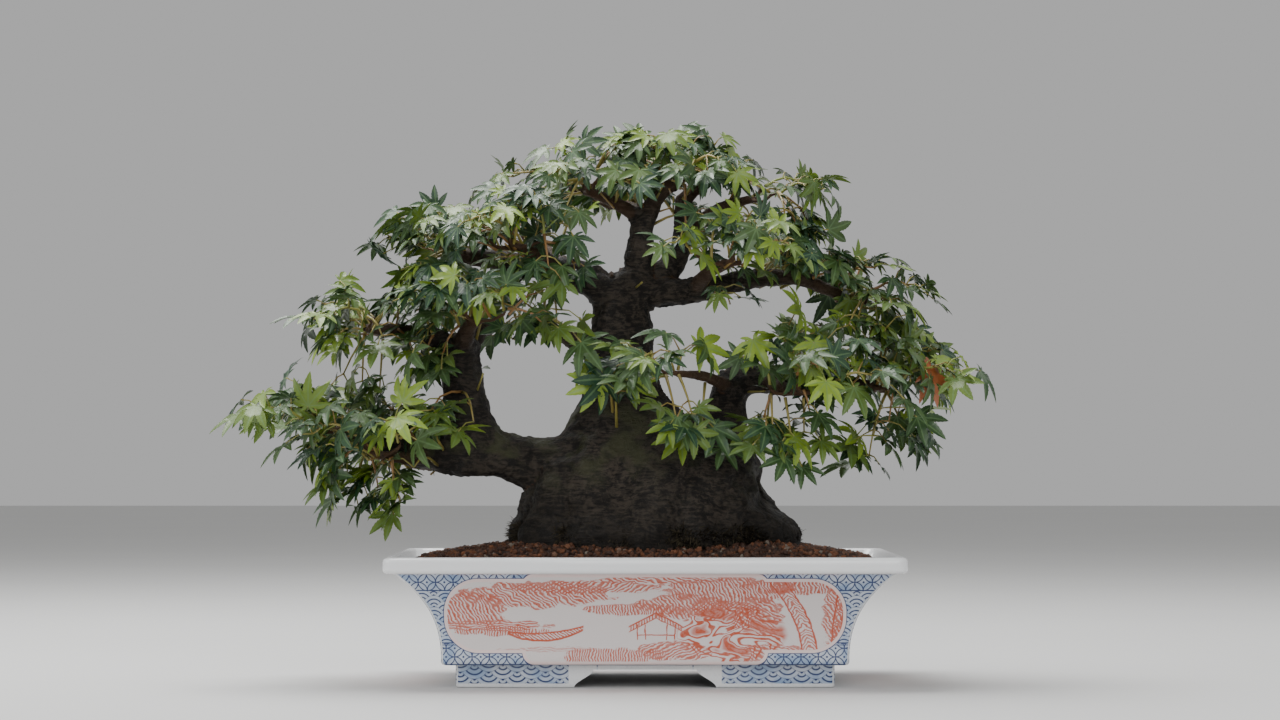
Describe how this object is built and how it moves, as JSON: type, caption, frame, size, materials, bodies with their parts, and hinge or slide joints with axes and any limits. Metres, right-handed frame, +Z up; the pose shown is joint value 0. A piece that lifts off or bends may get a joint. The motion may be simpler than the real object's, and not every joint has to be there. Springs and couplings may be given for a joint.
{
  "type": "bonsai tree in a pot",
  "caption": "Broad-based maple bonsai with layered foliage, planted in a flared rectangular porcelain pot on a low arched foot.",
  "frame": {"origin": "on the surface that the pot stands on, below the middle of the whole object's footprint", "axes": "+Z up, +X to the right and +Y to the back, seen from the side with the tree's front"},
  "size_m": [0.3615, 0.1752, 0.2685],
  "materials": {
    "porcelain": "clear glaze over white porcelain, with blue wave and ring patterns and a red-brown landscape in a lobed window on each long side",
    "screen_plastic": "moulded mesh, matt black",
    "staple_wire": "annealed wire, dull",
    "soil": "damp red-brown clay granules",
    "bark": "damp, finely fibrous dark bark with a little moss",
    "foliage": "fresh maple leaves, wet and glossy above, on green and red young stems"
  },
  "bodies": {
    "root": {"drain_screen_left": "screen_plastic", "drain_screen_right": "screen_plastic", "leafy_shoot_apex_1": "foliage", "leafy_shoot_apex_2": "foliage", "leafy_shoot_apex_3": "foliage", "leafy_shoot_apex_back_1": "foliage", "leafy_shoot_apex_back_2": "foliage", "leafy_shoot_apex_left_1": "foliage", "leafy_shoot_apex_left_2": "foliage", "leafy_shoot_apex_left_3": "foliage", "leafy_shoot_apex_right_1": "foliage", "leafy_shoot_apex_right_2": "foliage", "leafy_shoot_apex_right_3": "foliage", "leafy_shoot_left_high_back_1": "foliage", "leafy_shoot_left_high_back_2": "foliage", "leafy_shoot_left_high_front_1": "foliage", "leafy_shoot_left_high_front_2": "foliage", "leafy_shoot_left_high_front_3": "foliage", "leafy_shoot_left_high_tip_1": "foliage", "leafy_shoot_left_high_tip_2": "foliage", "leafy_shoot_left_high_tip_3": "foliage", "leafy_shoot_left_inner_1": "foliage", "leafy_shoot_left_low_back_1": "foliage", "leafy_shoot_left_low_back_2": "foliage", "leafy_shoot_left_low_front_1": "foliage", "leafy_shoot_left_low_front_2": "foliage", "leafy_shoot_left_low_front_3": "foliage", "leafy_shoot_left_low_tip_1": "foliage", "leafy_shoot_left_low_tip_2": "foliage", "leafy_shoot_left_low_tip_3": "foliage", "leafy_shoot_left_mid_back_1": "foliage", "leafy_shoot_left_mid_back_2": "foliage", "leafy_shoot_left_mid_front_1": "foliage", "leafy_shoot_left_mid_front_2": "foliage", "leafy_shoot_left_mid_front_3": "foliage", "leafy_shoot_left_mid_tip_1": "foliage", "leafy_shoot_left_mid_tip_2": "foliage", "leafy_shoot_left_mid_tip_3": "foliage", "leafy_shoot_right_high_back_1": "foliage", "leafy_shoot_right_high_back_2": "foliage", "leafy_shoot_right_high_front_1": "foliage", "leafy_shoot_right_high_front_2": "foliage", "leafy_shoot_right_high_front_3": "foliage", "leafy_shoot_right_high_tip_1": "foliage", "leafy_shoot_right_high_tip_2": "foliage", "leafy_shoot_right_high_tip_3": "foliage", "leafy_shoot_right_low_back_1": "foliage", "leafy_shoot_right_low_back_2": "foliage", "leafy_shoot_right_low_front_1": "foliage", "leafy_shoot_right_low_front_2": "foliage", "leafy_shoot_right_low_front_3": "foliage", "leafy_shoot_right_low_inner_1": "foliage", "leafy_shoot_right_low_tip_1": "foliage", "leafy_shoot_right_low_tip_2": "foliage", "leafy_shoot_right_low_tip_3": "foliage", "pot": "porcelain", "screen_staple_left": "staple_wire", "screen_staple_right": "staple_wire", "soil": "soil", "trunk_and_branches": "bark"}
  },
  "joints": []
}
